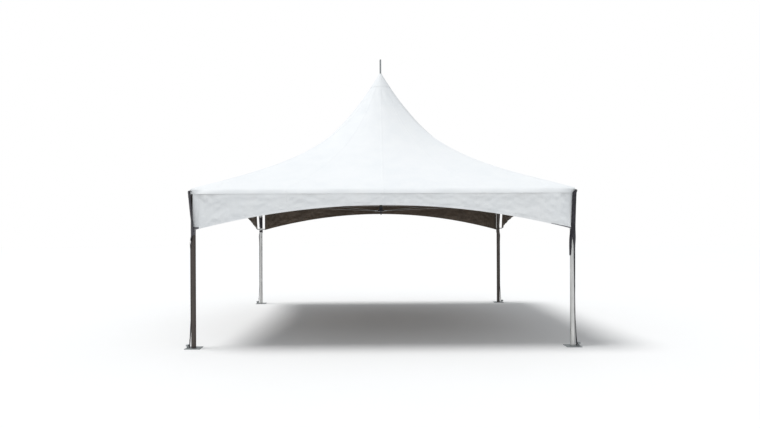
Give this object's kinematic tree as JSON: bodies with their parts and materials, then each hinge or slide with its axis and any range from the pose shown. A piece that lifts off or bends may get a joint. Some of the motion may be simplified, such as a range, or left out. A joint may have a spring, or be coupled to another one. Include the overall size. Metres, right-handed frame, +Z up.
{
  "type": "high peak frame marquee tent",
  "caption": "Square open-sided marquee: a tube frame with crossed cables and a king pole under a white fabric top that sweeps to a peak.",
  "frame": {"origin": "on the level ground under the peak, at the middle of the four legs", "axes": "+Z up, -Y towards the front, +X to the right as seen from the front"},
  "size_m": [6.274, 6.26, 5.375],
  "materials": {
    "bright_tube": "mill finish, lightly scratched",
    "dark_tube": "dull dark brown-grey",
    "galvanised": "hot-dip galvanised",
    "cast_fitting": "sand cast, dull",
    "wire_rope": "stranded, galvanised",
    "top_fabric": "white coated polyester, welded",
    "webbing": "black woven polyester webbing"
  },
  "bodies": {
    "root": {"leg_fl": "dark_tube", "leg_fr": "bright_tube", "leg_rl": "bright_tube", "leg_rr": "dark_tube", "base_plate_fl": "galvanised", "base_plate_fr": "galvanised", "base_plate_rl": "galvanised", "base_plate_rr": "galvanised", "stake_fl": "galvanised", "stake_fr": "galvanised", "stake_rl": "galvanised", "stake_rr": "galvanised", "corner_fitting_fl": "cast_fitting", "corner_fitting_fr": "cast_fitting", "corner_fitting_rl": "cast_fitting", "corner_fitting_rr": "cast_fitting", "eave_tube_front": "bright_tube", "eave_tube_rear": "bright_tube", "eave_tube_left": "bright_tube", "eave_tube_right": "bright_tube", "cable_fl": "wire_rope", "cable_fr": "wire_rope", "cable_rl": "wire_rope", "cable_rr": "wire_rope", "cable_hub": "galvanised", "king_pole": "bright_tube", "mast_head": "cast_fitting", "finial_rod": "galvanised", "roof_panel_front": "top_fabric", "roof_panel_rear": "top_fabric", "roof_panel_left": "top_fabric", "roof_panel_right": "top_fabric", "peak_cap": "top_fabric", "valance_front": "top_fabric", "valance_rear": "top_fabric", "valance_left": "top_fabric", "valance_right": "top_fabric", "tension_strap_fl": "webbing", "tension_strap_fr": "webbing", "tension_strap_rl": "webbing", "tension_strap_rr": "webbing"}
  },
  "joints": []
}
